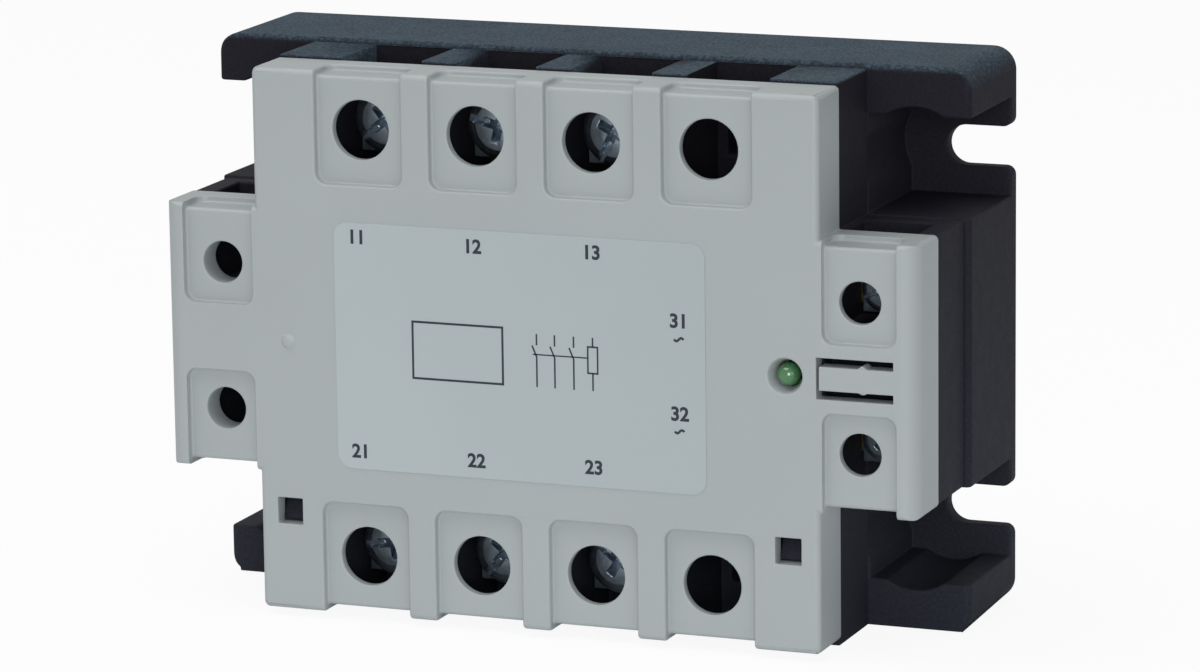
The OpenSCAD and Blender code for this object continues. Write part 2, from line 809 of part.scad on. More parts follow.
base_plate();
base_frame();
terminal_block();
front_cover();
label();
control_board();
status_led();
optocouplers();
varistors();
gate_resistors();
input_capacitor();
input_rectifier();
input_resistors();
gate_pins();
substrate(1);  // substrate_1
substrate(2);  // substrate_2
substrate(3);  // substrate_3
thyristors(1);  // thyristors_1
thyristors(2);  // thyristors_2
thyristors(3);  // thyristors_3
power_busbar(1, LINE);  // line_busbar_1
power_busbar(2, LINE);  // line_busbar_2
power_busbar(3, LINE);  // line_busbar_3
power_busbar(1, LOAD);  // load_busbar_1
power_busbar(2, LOAD);  // load_busbar_2
power_busbar(3, LOAD);  // load_busbar_3
power_nuts();
control_nuts();
power_clamp(1, LINE);  // line_clamp_1
power_clamp(2, LINE);  // line_clamp_2
power_clamp(3, LINE);  // line_clamp_3
power_clamp(1, LOAD);  // load_clamp_1
power_clamp(2, LOAD);  // load_clamp_2
power_clamp(3, LOAD);  // load_clamp_3
power_screw(1, LINE);  // line_screw_1
power_screw(2, LINE);  // line_screw_2
power_screw(3, LINE);  // line_screw_3
power_screw(1, LOAD);  // load_screw_1
power_screw(2, LOAD);  // load_screw_2
power_screw(3, LOAD);  // load_screw_3
control_terminal(UPPER);  // control_terminal_1
control_terminal(LOWER);  // control_terminal_2
control_clamp(UPPER);  // control_clamp_1
control_clamp(LOWER);  // control_clamp_2
control_screw(UPPER);  // control_screw_1
control_screw(LOWER);  // control_screw_2
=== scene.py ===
"""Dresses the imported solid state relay: moulded forms, threads, printing, finishes and a plain studio."""
import json
import math

import bmesh
import bpy
import numpy as np
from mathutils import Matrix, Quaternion, Vector

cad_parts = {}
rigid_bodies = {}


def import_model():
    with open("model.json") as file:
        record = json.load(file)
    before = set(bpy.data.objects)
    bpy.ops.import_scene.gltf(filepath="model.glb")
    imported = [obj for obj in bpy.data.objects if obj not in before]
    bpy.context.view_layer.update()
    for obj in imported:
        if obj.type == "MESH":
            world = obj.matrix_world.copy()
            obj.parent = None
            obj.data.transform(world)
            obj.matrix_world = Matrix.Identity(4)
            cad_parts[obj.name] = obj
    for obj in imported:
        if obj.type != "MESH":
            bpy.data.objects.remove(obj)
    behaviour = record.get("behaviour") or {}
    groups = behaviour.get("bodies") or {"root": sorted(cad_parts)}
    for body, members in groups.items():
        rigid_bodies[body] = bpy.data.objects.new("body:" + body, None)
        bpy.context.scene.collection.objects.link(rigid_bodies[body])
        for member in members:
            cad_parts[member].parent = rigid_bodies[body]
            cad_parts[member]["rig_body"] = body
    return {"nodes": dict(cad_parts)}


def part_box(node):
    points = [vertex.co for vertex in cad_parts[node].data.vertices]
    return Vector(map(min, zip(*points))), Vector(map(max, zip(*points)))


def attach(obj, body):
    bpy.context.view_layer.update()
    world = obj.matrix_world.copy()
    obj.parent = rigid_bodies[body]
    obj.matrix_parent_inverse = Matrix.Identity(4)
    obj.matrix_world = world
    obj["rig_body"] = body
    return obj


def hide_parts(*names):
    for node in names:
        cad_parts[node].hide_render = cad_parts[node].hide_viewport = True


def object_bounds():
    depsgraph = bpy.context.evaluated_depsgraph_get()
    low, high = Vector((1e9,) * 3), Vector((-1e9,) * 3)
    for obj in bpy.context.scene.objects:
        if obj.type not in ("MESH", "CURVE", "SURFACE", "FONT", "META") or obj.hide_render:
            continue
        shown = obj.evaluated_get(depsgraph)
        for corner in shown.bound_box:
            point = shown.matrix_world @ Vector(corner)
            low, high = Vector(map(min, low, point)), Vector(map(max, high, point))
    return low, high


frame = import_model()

bl_info = {
    "name": "Solid State Relay",
    "version": (1, 0, 0),
    "blender": (4, 5, 0),
    "location": "View3D > Sidebar > Relay",
    "description": "Builds the mouldings, terminals, label and studio of a panel-mounted relay",
    "category": "Add Mesh",
}

MM = 0.001
CAD_BOX = [list(corner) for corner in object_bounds()]
NODES = frame["nodes"]
FRONT = Vector((0, -1, 0))


# ---- sizes taken from the imported model, and given sizes and limits ----

def centre(node):
    """The middle of a CAD node's box, in metres."""
    low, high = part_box(node)
    return (low + high) / 2


def nodes_like(*starts):
    """Names of the CAD nodes that begin with one of these words."""
    return [name for name in sorted(NODES) if name.startswith(starts)]


LABEL_LOW, LABEL_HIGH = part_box("label")
LED_LOW, LED_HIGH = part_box("status_led")
LED_PLACE = centre("status_led")
LABEL_SEAT = 0.1 * MM  # how deep the label lies in its seat
SEAT_GAP = 0.1  # how far the film is spread to meet its seat, in millimetres
WINDOW_X, WINDOW_Z = 34.4 * MM, -22.6 * MM
# The terminal block's lower edge, as packed and as shown, in millimetres
BLOCK_FOOT, SHOWN_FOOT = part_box("terminal_block")[0].z / MM, -36.7
# Profile of the plugs that close the screw passages of the spare wells
PLUG_RADII = np.array([1.5, 2.3, 2.5, 2.5, 2.4, 2.1, 1.0]) * MM
PLUG_DEPTHS = np.array([15.7, 15.7, 15.9, 16.6, 16.8, 16.9, 16.9]) * MM
RIM_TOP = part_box("base_frame")[1].z
FACE_Y = LABEL_LOW.y + LABEL_SEAT
PITCH = centre("line_screw_2").x - centre("line_screw_1").x
# How much painted light from below, or the label's painted sheen, changes a tone in a metre, how far under
# the rim the specks and painted sheen begin and how fast they grow
PAINTED_LIGHT_FALL, BLACK_PAINTED_LIGHT_FALL = 9.0, 13.0
SPECKS_AND_SHEEN_DEPTH, SPECKS_AND_SHEEN_RISE = 8 * MM, 400.0
# Shares: of the lead for the thread, of the head's height for both grooves, of a wing that rises
THREAD_DEPTH, CROSS_DEPTH, SLOT_DEPTH, WING_RISE = 0.54, 0.62, 0.30, 0.62
# Edges flatter than the first angle lie in one face, and those sharper than the second are rounded
FLAT, CRISP = math.radians(0.3), math.radians(28)
BENT = -math.cos(math.radians(30))  # two edges that meet straighter than this go on into each other
SPARE = 0.08  # share of an edge's room that is left over
PLENTY = 1e3  # more room than any edge has, in millimetres


# ---- settings that a user would change ----

def colour(name, description, default):
    """A colour setting."""
    return bpy.props.FloatVectorProperty(
        name=name, description=description, subtype="COLOR", size=4, min=0, max=1, default=(*default, 1))


def amount(name, description, default, **kind):
    """A plain setting, not below zero unless min says so."""
    return bpy.props.FloatProperty(
        name=name, description=description, default=default, **{"min": 0, **kind})


def length(name, description, millimetres):
    """A length setting, given in millimetres and kept in metres."""
    return amount(name, description, millimetres * MM, subtype="DISTANCE", unit="LENGTH")


def share(name, description, default):
    """A setting from 0 to 1."""
    return amount(name, description, default, max=1, subtype="FACTOR")


def power(name, description, watts):
    """The power of a lamp."""
    return amount(name, description, watts, subtype="POWER", unit="POWER")


class RelayFinish(bpy.types.PropertyGroup):
    """Colours and surface values of the relay."""
    cover: colour("Cover", "Light grey moulded plastic", (0.385, 0.415, 0.420))
    housing: colour("Housing", "Black plastic of the base and terminal block", (0.0150, 0.0138, 0.0190))
    # Painted light from below: the black mouldings are drawn paler and bluer towards the bottom with this
    # colour.
    housing_low: colour("Housing, low", "Tone of the black mouldings at the bottom", (0.028, 0.030, 0.040))
    # Pale specks with a painted sheen: the bluish light that the upward faces near the top catch, put into
    # their colour.
    bloom: colour("Bloom", "Pale film on what faces up on the black mouldings", (0.058, 0.092, 0.122))
    film: colour("Label film", "Printed film on the cover", (0.402, 0.448, 0.456))
    ink: colour("Ink", "Printing on the label", (0.014, 0.018, 0.032))
    lens: colour("Indicator", "Tinted lens of the indicator", (0.040, 0.160, 0.050))
    zinc: colour("Zinc plate", "Plated steel of the screws, clamps and nuts", (0.430, 0.510, 0.585))
    nickel: colour("Nickel plate", "Mounting plate", (0.620, 0.600, 0.560))
    copper: colour("Copper", "Busbars and pins", (0.720, 0.360, 0.210))
    brass: colour("Brass", "Control terminals", (0.760, 0.580, 0.270))
    cover_roughness: share("Cover roughness", "Micro roughness of the cover", 0.46)
    housing_roughness: share("Housing roughness", "Micro roughness of the black mouldings", 0.60)


class RelayShape(bpy.types.PropertyGroup):
    """Sizes that the mouldings, screws and lens are finished with."""
    cover_edge: length("Cover edges", "Rounding of the cover's plain edges", 0.30)
    recess_edge: length("Recess edges", "Rounding along the terminal recesses", 0.50)
    hole_edge: length("Hole edges", "Rounding round the holes and slots", 0.20)
    housing_edge: length("Housing edges", "Rounding of the black mouldings' edges", 0.30)
    metal_edge: length("Metal edges", "Rounding of stamped metal edges", 0.14)
    nib: length("Tongue nib", "How far the nibs stand out of the snap tongue", 0.38)
    nib_length: length("Tongue nib length", "Length of a nib along the snap tongue", 1.3)
    power_shank: length("Power screw", "Diameter of the power screws", 5.0)
    power_lead: length("Power thread pitch", "Advance of a power screw in one turn", 0.8)
    control_shank: length("Control screw", "Diameter of the control screws", 3.0)
    control_lead: length("Control thread pitch", "Advance of a control screw in one turn", 0.5)


class RelayPrint(bpy.types.PropertyGroup):
    """Sizes of the label's printing."""
    digit: length("Digit height", "Height of the terminal numbers", 1.75)
    wave: length("Wave width", "Width of the wave under the control numbers", 1.3)
    line: length("Line width", "Width of the printed lines", 0.22)
    frame_line: length("Frame line", "Width of the blank frame's line", 0.29)
    thickness: length("Ink thickness", "How far the ink stands on the film", 0.012)


class RelayStage(bpy.types.PropertyGroup):
    """The studio round the relay."""
    lens: amount("Lens", "Focal length", 174.2, min=20, subtype="DISTANCE_CAMERA")
    key: power("Key light", "Power of the large overhead lamp", 6.1)
    fill: power("Fill light", "Power of the front lamp", 4.6)
    side: power("Side light", "Power of the lamp on the right", 0.9)
    ambient: amount("Ambient", "Strength of the room's even light", 0.32)
    mirrored: amount("Mirrored room", "Strength of the room in reflections", 0.42)
    floor: colour("Floor", "Pale floor", (0.88, 0.89, 0.90))


# ---- shader expressions ----

class Flow:
    """A node's output that Python's operators extend with Math nodes."""

    def __init__(self, tree, socket=None):
        self.tree, self.socket = tree, socket

    def node(self, kind, settings=None, values=None, output=0):
        """Adds a node: its settings first, then the values or links of its sockets."""
        made = self.tree.nodes.new(kind)
        for name, value in (settings or {}).items():
            setattr(made, name, value)
        self.fill(made, values or {})
        return Flow(self.tree, made.outputs[output])

    def fill(self, node, values):
        """Links or sets sockets of a node."""
        for name, value in values.items():
            socket = node.inputs[name]
            if isinstance(value, Flow):
                self.tree.links.new(value.socket, socket)
            else:
                socket.default_value = value

    def math(self, operation, *operands):
        """A Math node on these operands."""
        return self.node("ShaderNodeMath", {"operation": operation}, dict(enumerate(operands)))

    def __add__(self, other):
        return self.math("ADD", self, other)

    def __sub__(self, other):
        return self.math("SUBTRACT", self, other)

    def __rsub__(self, other):
        return self.math("SUBTRACT", other, self)

    def __mul__(self, other):
        return self.math("MULTIPLY", self, other)

    def noise(self, scale, detail=2.0, roughness=0.5, distortion=0.0, stretch=(1, 1, 1)):
        """Noise from 0 to 1 on object coordinates, with features about 1 / scale metres wide."""
        place = self.node("ShaderNodeTexCoord", output="Object")
        place = self.node("ShaderNodeMapping", {}, {"Vector": place, "Scale": stretch})
        return self.node("ShaderNodeTexNoise", {}, {
            "Vector": place, "Scale": scale, "Detail": detail, "Roughness": roughness,
            "Distortion": distortion})

    def cells(self, scale):
        """Distance to the nearest edge of Voronoi cells on object coordinates."""
        place = self.node("ShaderNodeTexCoord", output="Object")
        return self.node("ShaderNodeTexVoronoi", {"feature": "DISTANCE_TO_EDGE"},
                         {"Vector": place, "Scale": scale}, "Distance")

    def axis(self, letter, of="Object"):
        """One object coordinate, in metres, or one part of another coordinate output."""
        place = self.node("ShaderNodeTexCoord", output=of)
        return self.node("ShaderNodeSeparateXYZ", {}, {"Vector": place}, letter)

    def upward(self):
        """How far the surface faces up in its object's own axes, from 0 to 1."""
        return self.math("MAXIMUM", self.axis("Z", "Normal"), 0.0)

    def blend(self, factor, low, high):
        """One colour turning into another as the factor goes from 0 to 1."""
        return self.node("ShaderNodeMix", {"data_type": "RGBA"}, {
            "Factor": factor, "A": low, "B": high}, "Result")

    def varied(self, factor, tone, dark, light):
        """A tone times dark turning into the tone times light as the factor goes from 0 to 1."""
        return self.blend(factor, tinted(tone, dark), tinted(tone, light))

    def bump(self, height, distance, strength):
        """A normal tilted by a height field, in metres."""
        return self.node("ShaderNodeBump", {}, {"Height": height, "Distance": distance, "Strength": strength})


def tinted(tone, gain):
    """A colour made lighter or darker."""
    return (*(min(1, part * gain) for part in tone[:3]), 1)


def chosen(name):
    """A colour from the finish settings."""
    return tuple(getattr(bpy.context.scene.relay_finish, name))


def first(tree, kind):
    """The tree's first node of this type."""
    return next(node for node in tree.nodes if node.type == kind)


def material(name, build):
    """A material whose Principled inputs come from build(flow). The ending keeps its name apart from
    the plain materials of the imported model."""
    name += "_surface"
    made = bpy.data.materials.get(name)
    if made:
        return made
    made = bpy.data.materials.new(name)
    made.use_nodes = True
    flow = Flow(made.node_tree)
    flow.fill(first(flow.tree, "BSDF_PRINCIPLED"), build(flow))
    return made


def cover_plastic():
    """Light grey moulding: broad uneven tone, drawn paler towards the bottom as painted light from below,
    fine sparked grain.
    """
    finish = bpy.context.scene.relay_finish
    tone = chosen("cover")

    def build(flow):
        # Painted light from below: the tone falls with height, so the cover is paler towards the bottom.
        cloud = flow.noise(38, 3) * 0.6 + 0.2 - flow.axis("Z") * PAINTED_LIGHT_FALL
        grain = flow.noise(5200, 2, 0.6)
        return {
            "Base Color": flow.varied(cloud, tone, 0.93, 1.07),
            "Roughness": flow.noise(260, 3) * 0.12 + (finish.cover_roughness - 0.06),
            "Normal": flow.bump(grain, 0.016 * MM, 0.55),
            "Specular IOR Level": 0.5,
        }
    return material("cover_grey_moulding", build)


def housing_plastic():
    """Matte black moulding: mottled grain, painted light from below that makes it paler and bluer towards the
    bottom, and pale specks with a painted sheen on what faces up near the top.
    """
    finish = bpy.context.scene.relay_finish
    tone, low, bloom = chosen("housing"), chosen("housing_low"), chosen("bloom")

    def build(flow):
        grain = flow.noise(2500, 3, 0.65)
        cloud = flow.noise(140, 3, 0.6)
        speck = flow.math("MAXIMUM", (grain - 0.42) * 3.4, 0.0)
        # Painted light from below: the black turns paler and bluer towards the bottom.
        painted_low_light_share = 0.5 - flow.axis("Z") * BLACK_PAINTED_LIGHT_FALL
        # Pale specks with a painted sheen on what faces up, from a little under the rim's top: the bluish
        # light on the upper faces is put into their colour, and film below is its share.
        level = (flow.axis("Z") - (RIM_TOP - SPECKS_AND_SHEEN_DEPTH)) * SPECKS_AND_SHEEN_RISE
        top = flow.math("MINIMUM", flow.math("MAXIMUM", level, 0.0), 1.0)
        film = flow.upward() * top * (speck * 1.1 + cloud * 0.5 + 0.05)
        plain = flow.blend(grain, *(flow.blend(painted_low_light_share, tinted(tone, gain), tinted(low, gain))
                                    for gain in (0.5, 1.6)))
        return {
            "Base Color": flow.blend(film, plain, bloom),
            "Roughness": flow.noise(420, 3) * 0.16 + (finish.housing_roughness - 0.08),
            "Normal": flow.bump(grain, 0.035 * MM, 0.6),
            "Specular IOR Level": 0.06,
        }
    return material("housing_black_moulding", build)


def label_film():
    """Smooth printed film with slight waves where it was pressed on, and a painted sheen that makes it paler
    towards the lower left.
    """
    tone = chosen("film")

    def build(flow):
        # Painted sheen: the film is paler towards the lower left, with a random mottle.
        mottle_and_painted_sheen = flow.noise(55, 2) * 0.3 + 0.35 - (flow.axis("X") + flow.axis("Z")) * PAINTED_LIGHT_FALL
        return {
            "Base Color": flow.varied(mottle_and_painted_sheen, tone, 0.93, 1.10),
            "Roughness": flow.noise(700, 2) * 0.08 + 0.34,
            "Normal": flow.bump(flow.noise(160, 2), 0.02 * MM, 0.4),
        }
    return material("label_film", build)


def printing_ink():
    """Dark ink with slightly uneven cover."""
    tone = chosen("ink")

    def build(flow):
        return {
            "Base Color": flow.varied(flow.noise(2400, 2), tone, 0.8, 1.5),
            "Roughness": 0.42,
        }
    return material("printing_ink", build)


# Name, roughness, scale, stretch and depth in millimetres of the marks, and tone of the dull parts
METALS = {
    "zinc": ("zinc_plated_steel", 0.34, 800, (1, 1, 1), 0.05, 0.45),
    "nickel": ("nickel_plated_sheet", 0.34, 900, (0.04, 1, 1.4), 0.006, 0.8),
    "copper": ("rolled_copper", 0.36, 1100, (1, 0.1, 0.1), 0.006, 0.8),
    "brass": ("rolled_brass", 0.32, 1100, (0.1, 1, 1), 0.006, 0.8),
}


def plated(metal):
    """Plated or rolled metal: cloudy passivation, fine drawn or turned marks."""
    name, rough, scale, stretch, depth, worn = METALS[metal]
    tone = chosen(metal)

    def build(flow):
        cloud = flow.noise(900, 4, 0.7)
        marks = flow.noise(scale, 3, 0.6, 0.4, stretch)
        return {
            "Base Color": flow.varied(cloud, tone, worn, 2 - worn),
            "Metallic": 1.0,
            "Roughness": marks * 0.18 + (rough - 0.09),
            "Normal": flow.bump(marks, depth * MM, 0.6),
        }
    return material(name, build)


def lens_plastic():
    """Tinted clear lens: glossy, lit through from its rim."""
    tone = chosen("lens")

    def build(flow):
        return {
            "Base Color": flow.varied(flow.noise(500, 2), tone, 0.8, 1.3),
            "Roughness": 0.12,
            "Coat Weight": 1.0,
            "Subsurface Weight": 0.1,
            "Subsurface Scale": 0.0006,
            "IOR": 1.55,
            "Normal": flow.bump(flow.noise(900, 2), 0.006 * MM, 0.3),
        }
    return material("green_lens", build)


def board_mask():
    """Solder mask with darker tracks under it."""
    def build(flow):
        track = flow.math("GREATER_THAN", flow.cells(420), 0.06)
        return {
            "Base Color": flow.blend(track, (0.035, 0.20, 0.07, 1), (0.02, 0.13, 0.045, 1)),
            "Roughness": flow.noise(800, 2) * 0.1 + 0.22,
            "Coat Weight": 0.3,
            "Normal": flow.bump(track, 0.02 * MM, 0.5),
        }
    return material("board_mask", build)


def coated(name, tone, rough, depth=0.02):
    """A plain coated, dipped or moulded body with a fine uneven skin."""
    def build(flow):
        skin = flow.noise(900, 3)
        return {
            "Base Color": flow.varied(flow.noise(300, 3), tone, 0.85, 1.15),
            "Roughness": skin * 0.12 + (rough - 0.06),
            "Normal": flow.bump(skin, depth * MM, 0.5),
        }
    return material(name, build)


# ---- mesh tools ----

def body_of(node):
    """The body that a CAD node rides on."""
    return NODES[node]["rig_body"]


def linked(name, data):
    """An object in the scene."""
    made = bpy.data.objects.new(name, data)
    bpy.context.scene.collection.objects.link(made)
    return made


def aimed(item, place, aim=(0, 0, 0), roll_deg=0):
    """Puts a lamp or camera in its place and points it at aim, rolled by an angle."""
    item.location, item.rotation_mode = place, "QUATERNION"
    turn = (Vector(aim) - Vector(place)).to_track_quat("-Z", "Y")
    item.rotation_quaternion = turn @ Quaternion((0, 0, 1), math.radians(roll_deg))


def put(name, body, finish, mesh, replaced=()):
    """Makes an object of a mesh, gives it a finish and lets it ride on a body."""
    piece = linked(name, mesh)
    mesh.materials.clear()
    mesh.materials.append(finish)
    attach(piece, body)
    if replaced:
        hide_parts(*replaced)
    return piece


def mesh_from(name, points, faces, outward=False):
    """A mesh of points, an array of N x 3, and faces, a list of index tuples. With outward, its doubles
    are merged and its faces turned outwards."""
    mesh = bpy.data.meshes.new(name)
    mesh.from_pydata(np.asarray(points, float).tolist(), [], [tuple(face) for face in faces])
    if outward:
        work = bmesh.new()
        work.from_mesh(mesh)
        bmesh.ops.remove_doubles(work, verts=work.verts, dist=0.0005 * MM)
        bmesh.ops.recalc_face_normals(work, faces=work.faces)
        work.to_mesh(mesh)
        work.free()
    mesh.update()
    return mesh


def shade(mesh, limit_deg):
    """Smooth faces with crisp edges over the limit."""
    mesh.shade_smooth()
    mesh.set_sharp_from_angle(angle=math.radians(limit_deg))


def reshaped(mesh, change):
    """Moves a mesh's points, an array of N x 3, to change(points)."""
    points = np.empty(len(mesh.vertices) * 3)
    mesh.vertices.foreach_get("co", points)
    mesh.vertices.foreach_set("co", change(points.reshape(-1, 3)).ravel())
    mesh.update()


def ring_faces(rows, columns):
    """Quads between rows x columns points, closed round each row."""
    i, j = np.meshgrid(np.arange(rows - 1), np.arange(columns), indexing="ij")
    k = (j + 1) % columns
    return np.stack([i * columns + j, i * columns + k, (i + 1) * columns + k, (i + 1) * columns + j],
                    -1).reshape(-1, 4).tolist()


def closed_tube(rings):
    """Points and faces of a tube of rings, an array of rows x columns x 3, closed by a fan at each end."""
    rows, columns = rings.shape[:2]
    poles = rings[[0, -1]].mean(axis=1)
    points = np.concatenate([rings.reshape(-1, 3), poles])
    j = np.arange(columns)
    k = (j + 1) % columns
    last = (rows - 1) * columns
    fans = [np.stack([j, k, np.full(columns, rows * columns)], -1),
            np.stack([last + j, last + k, np.full(columns, rows * columns + 1)], -1)]
    return points, ring_faces(rows, columns) + np.concatenate(fans).tolist()


def turned(radii, heights, start, axis, columns=48):
    """Points and faces of a turned body: at each step the radius radii[i] is carried round the line
    that leaves start along axis, heights[i] along it."""
    axis = Vector(axis).normalized()
    side = axis.orthogonal().normalized()
    up = np.array(axis.cross(side))
    angle = np.linspace(0, 2 * np.pi, columns, endpoint=False)
    spokes = np.outer(np.cos(angle), side) + np.outer(np.sin(angle), up)
    rings = (np.array(start) + np.outer(heights, axis)[:, None]
             + np.asarray(radii, float)[:, None, None] * spokes[None])
    return closed_tube(rings)


def quarter(radius, height, steps):
    """Radius and height steps of a quarter ellipse: out by radius while it falls by height."""
    t = np.linspace(0, np.pi / 2, steps)
    return radius * np.sin(t), height * np.cos(t)


def gathered(parts):
    """Joins the points and faces of several parts."""
    points, faces, start = [], [], 0
    for part_points, part_faces in parts:
        points.append(np.asarray(part_points, float))
        faces += [tuple(int(i) + start for i in face) for face in part_faces]
        start += len(part_points)
    return np.concatenate(points), faces


def strip(path, width, front, thickness, closed=False):
    """A flat printed line: the path, points in X and Z, is carried half the width to each side along the
    bisector of its corners, and raised by the thickness."""
    path = np.asarray(path, float)
    ahead = np.roll(path, -1, 0) - path
    behind = path - np.roll(path, 1, 0)
    if not closed:
        ahead[-1], behind[0] = behind[-1], ahead[0]
    ahead /= np.linalg.norm(ahead, axis=1)[:, None]
    behind /= np.linalg.norm(behind, axis=1)[:, None]
    side = np.stack([-(ahead + behind)[:, 1], (ahead + behind)[:, 0]], 1)
    side /= np.linalg.norm(side, axis=1)[:, None]
    across = np.stack([-ahead[:, 1], ahead[:, 0]], 1)
    reach = width / 2 / np.maximum(0.4, np.abs(np.einsum("ij,ij->i", side, across)))
    left, right = path + side * reach[:, None], path - side * reach[:, None]
    top = front - thickness
    rings = np.stack([np.insert(flat, 1, y, axis=1) for flat, y in (
        (left, front), (left, top), (right, top), (right, front))], 1)
    if closed:
        rings = np.concatenate([rings, rings[:1]])
        return rings.reshape(-1, 3), ring_faces(len(rings), 4)
    return closed_tube(rings)


def built(name, parts, body, finish, replaced=(), limit_deg=35):
    """One piece of several parts, each points and faces, smooth up to the limit, or flat with none."""
    mesh = mesh_from(name, *gathered(parts), outward=True)
    if limit_deg:
        shade(mesh, limit_deg)
    put(name, body, finish, mesh, replaced)


# ---- rounded edges ----

def joined(count, pairs):
    """Numbers the groups that pairs join among count things: each thing takes the lowest number among
    its partners, and then that thing's own number, until nothing changes."""
    label = np.arange(count)
    pairs = np.array(pairs, int).reshape(-1, 2)
    while True:
        lower = label.copy()
        for side in (0, 1):
            np.minimum.at(lower, pairs[:, side], label[pairs].min(axis=1))
        lower = lower[lower]
        if (lower == label).all():
            return label
        label = lower


def flat_regions(work):
    """Finds what lies round each flat region: its normal and its edges, as arrays of first corner, last
    corner and edge number, with the region on the left."""
    flat = [[face.index for face in edge.link_faces] for edge in work.edges
            if len(edge.link_faces) == 2 and edge.calc_face_angle(9) < FLAT]
    label = joined(len(work.faces), flat)
    regions = {}
    for face in work.faces:
        for loop in face.loops:
            sides = {label[other.index] for other in loop.edge.link_faces}
            if len(sides) == 2:
                corners = loop.vert.index, loop.link_loop_next.vert.index, loop.edge.index
                regions.setdefault(label[face.index], []).append((corners, face.normal))
    return {name: (np.mean([row[1] for row in region], axis=0), *np.array([row[0] for row in region]).T)
            for name, region in regions.items()}


def room_for_rounding(work, wanted):
    """The widest rounding that each edge has room for. The edges round a flat region are compared in
    pairs, in each edge's own frame, along it and inwards. An edge may take a little under half of the
    way in to what faces it, may not shrink away between the roundings of its neighbours, and may not
    run past the end of a neighbour that stays crisp."""
    places = np.array([vert.co for vert in work.verts])
    room = np.full(len(work.edges), PLENTY)
    for normal, first, last, name in flat_regions(work).values():
        run = places[last] - places[first]
        span = np.linalg.norm(run, axis=1)
        along = run / span[:, None]
        inward = np.cross(normal, along)
        soft = wanted[name] > 0
        follows = last[:, None] == first
        turn = np.arctan2(inward @ along.T, along @ along.T)
        lean = np.where(follows, np.tan(turn.clip(-3, 3) / 2), 0)
        shrink = np.where(soft[:, None] & soft, lean, 0)
        shrink = (shrink.sum(axis=0) + shrink.sum(axis=1)).clip(1e-6)
        crisp = np.abs(np.sin(turn)) * (1 - SPARE)
        after = np.where(follows & soft[:, None] & ~soft, crisp * span, PLENTY).min(axis=1)
        before = np.where(follows & ~soft[:, None] & soft, crisp * span[:, None], PLENTY).min(axis=0)
        reach = [(lean.sum(axis=k) < 0) * wanted[name] for k in (0, 1)]
        t1, t2, h1, h2 = (np.einsum("ijk,ik->ij", places[end] - places[first][:, None], way)
                          for way in (along, inward) for end in (first, last))
        gap = np.where(np.abs(t2 - t1) < 1e-7, 1e-7, t2 - t1)
        cuts = np.sort([(-reach[0][:, None] - t1) / gap, ((span + reach[1])[:, None] - t1) / gap], axis=0)
        cuts = cuts.clip(0, 1)
        inside = h1 + (h2 - h1) * cuts
        touching = follows | follows.T | (first[:, None] == first) | (last[:, None] == last)
        faced = ~touching & (cuts[1] > cuts[0] + 1e-6) & (inside.max(axis=0) > 1e-3)
        facing = np.where(faced, inside.min(axis=0).clip(0), PLENTY).min(axis=1) * (0.5 - SPARE / 2)
        least = np.min([facing, (1 - SPARE) * span / shrink, after, before], axis=0)
        np.minimum.at(room, name, least)
    return room


def smooth_chains(work, wanted):
    """Numbers the runs of edges that go on into each other with little bend."""
    pairs = []
    for vert in work.verts:
        met = [(edge.index, (edge.other_vert(vert).co - vert.co).normalized())
               for edge in vert.link_edges if wanted[edge.index] > 0]
        pairs += [(a, b) for k, (a, way) in enumerate(met) for b, other in met[k + 1:]
                  if way.dot(other) < BENT]
    return joined(len(work.edges), pairs)


def softened(node, width, finish, rule=None, place=None):
    """The CAD node's form with rounded edges. A merged copy is worked on in millimetres, where each run
    of edges sharper than the limit gets one width: what rule(middle of the edge) or the width asks for,
    or the least room that the run has. First, place(points) may set its corners elsewhere."""
    form = NODES[node].data.copy()
    work = bmesh.new()
    work.from_mesh(form)
    bmesh.ops.scale(work, vec=(1 / MM,) * 3, verts=work.verts)
    if place:
        for vert, point in zip(work.verts, place(np.array([vert.co for vert in work.verts]))):
            vert.co = point
    bmesh.ops.remove_doubles(work, verts=work.verts, dist=0.001)
    bmesh.ops.dissolve_degenerate(work, dist=0.0005, edges=work.edges)
    for row in (work.verts, work.edges, work.faces):
        row.index_update()
    work.normal_update()
    wanted = np.zeros(len(work.edges))
    for edge in work.edges:
        if len(edge.link_faces) == 2 and edge.calc_face_angle(0) > CRISP:
            middle = (edge.verts[0].co + edge.verts[1].co) / 2
            wanted[edge.index] = (rule(middle) if rule else width) / MM
    chain = smooth_chains(work, wanted)
    least = np.full(len(wanted), PLENTY)
    soft = wanted > 0
    np.minimum.at(least, chain[soft], np.minimum(wanted, room_for_rounding(work, wanted))[soft])
    given = np.where(soft & (least[chain] > 0.02), least[chain], 0)
    share_of = work.edges.layers.float.new("bevel_weight_edge")
    for edge, part in zip(work.edges, given / given.max()):
        edge[share_of] = part
    work.to_mesh(form)
    work.free()
    holder = linked("form", form)
    bevel = holder.modifiers.new("rounded_edges", "BEVEL")
    bevel.limit_method, bevel.width, bevel.segments = "WEIGHT", given.max(), 3
    bevel.use_clamp_overlap = bevel.loop_slide = False
    mesh = bpy.data.meshes.new_from_object(holder.evaluated_get(bpy.context.evaluated_depsgraph_get()))
    bpy.data.objects.remove(holder)
    reshaped(mesh, lambda points: points * MM)
    shade(mesh, 40)
    mesh.name = node + "_form"
    piece = put(node + "_form", body_of(node), finish, mesh, [node])
    piece.modifiers.new("even_faces", "WEIGHTED_NORMAL").keep_sharp = True


# ---- forms ----

